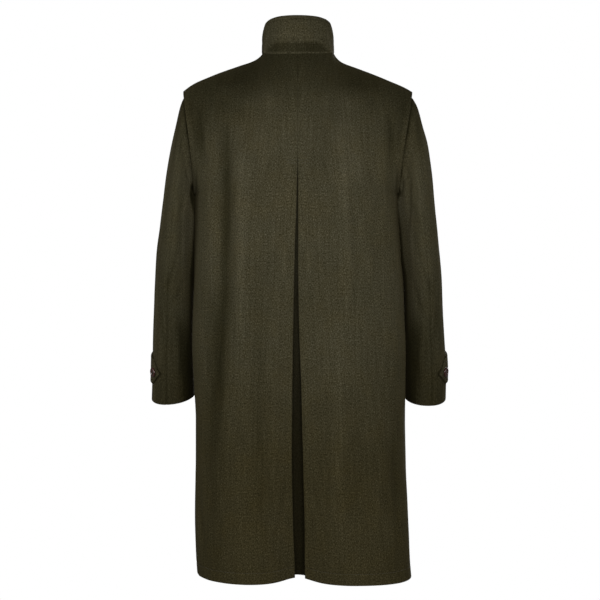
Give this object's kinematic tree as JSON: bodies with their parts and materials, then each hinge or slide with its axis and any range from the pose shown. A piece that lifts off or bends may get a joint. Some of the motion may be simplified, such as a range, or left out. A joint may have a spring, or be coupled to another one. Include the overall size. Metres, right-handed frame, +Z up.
{
  "type": "loden coat",
  "caption": "Knee-length men's loden coat in worn form, with a turned-up collar, a deep inverted back pleat and buttoned cuff tabs.",
  "frame": {"origin": "the middle of the neck ring, level with the centre back neck seam", "axes": "+Z up; the coat's front faces -Y and its back +Y; the wearer's left is +X"},
  "size_m": [0.6483, 0.3526, 1.1714],
  "materials": {
    "loden": "dense milled wool with a short nap, dark olive brown",
    "pleat_loden": "the same milled wool, inside the pleat",
    "horn_button": "polished red-brown horn"
  },
  "bodies": {
    "root": {"back_left": "loden", "back_right": "loden", "pleat_underlay": "pleat_loden", "front_left": "loden", "front_right": "loden", "collar": "loden", "sleeve_top_left": "loden", "sleeve_top_right": "loden", "sleeve_under_left": "loden", "sleeve_under_right": "loden", "cuff_tab_left": "loden", "cuff_tab_right": "loden", "cuff_button_left": "horn_button", "cuff_button_right": "horn_button", "front_button_1": "horn_button", "front_button_2": "horn_button", "front_button_3": "horn_button", "front_button_4": "horn_button", "front_button_5": "horn_button"}
  },
  "joints": []
}
